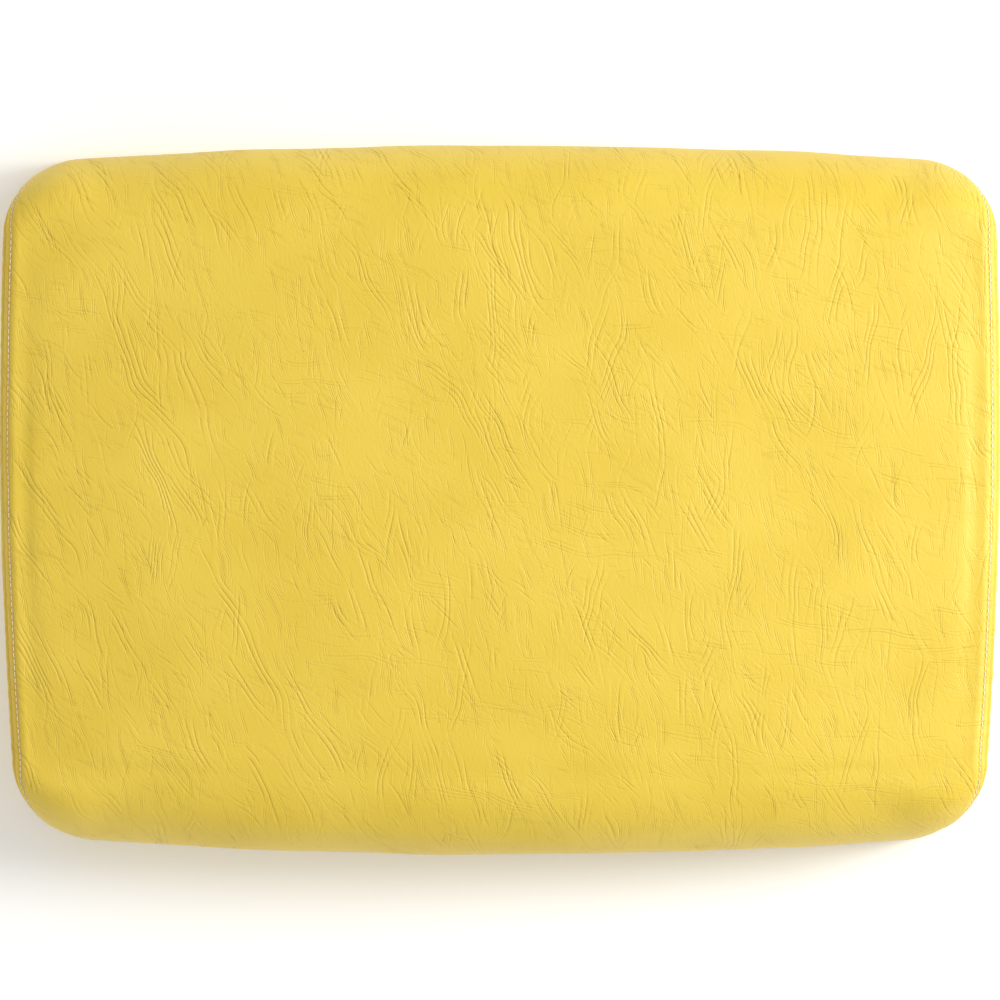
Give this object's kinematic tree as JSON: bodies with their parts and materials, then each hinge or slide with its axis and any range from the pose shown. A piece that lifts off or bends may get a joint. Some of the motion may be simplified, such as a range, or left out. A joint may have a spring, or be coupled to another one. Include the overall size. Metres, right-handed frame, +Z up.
{
  "type": "seat cushion",
  "caption": "Vinyl-covered foam seat cushion on a plywood base with threaded inserts, rounded at the front and rear, for a boat, kayak or tractor seat.",
  "frame": {"origin": "centre of the underside, on the outer face of the cloth that closes it", "axes": "+X to the sitter's right along the longest side, +Y from the front edge to the rear edge, +Z up through the crown"},
  "size_m": [0.5, 0.356, 0.0919],
  "materials": {
    "yellow_vinyl": "embossed, semi-matt",
    "cream_thread": "bonded polyester",
    "polyester_wadding": "fluffy",
    "soft_foam": "open-cell",
    "firm_foam": "open-cell",
    "plywood": "sanded",
    "zinc_plated_steel": "zinc-plated",
    "staple_wire": "bright",
    "black_cloth": "woven, matt"
  },
  "bodies": {
    "root": {"cover_top_panel": "yellow_vinyl", "left_end_panel": "yellow_vinyl", "right_end_panel": "yellow_vinyl", "left_topstitch": "cream_thread", "right_topstitch": "cream_thread", "batting": "polyester_wadding", "foam_topper": "soft_foam", "foam_core": "firm_foam", "base_board": "plywood", "threaded_inserts": "zinc_plated_steel", "cover_staples": "staple_wire", "cloth_staples": "staple_wire", "underside_cloth": "black_cloth"}
  },
  "joints": []
}
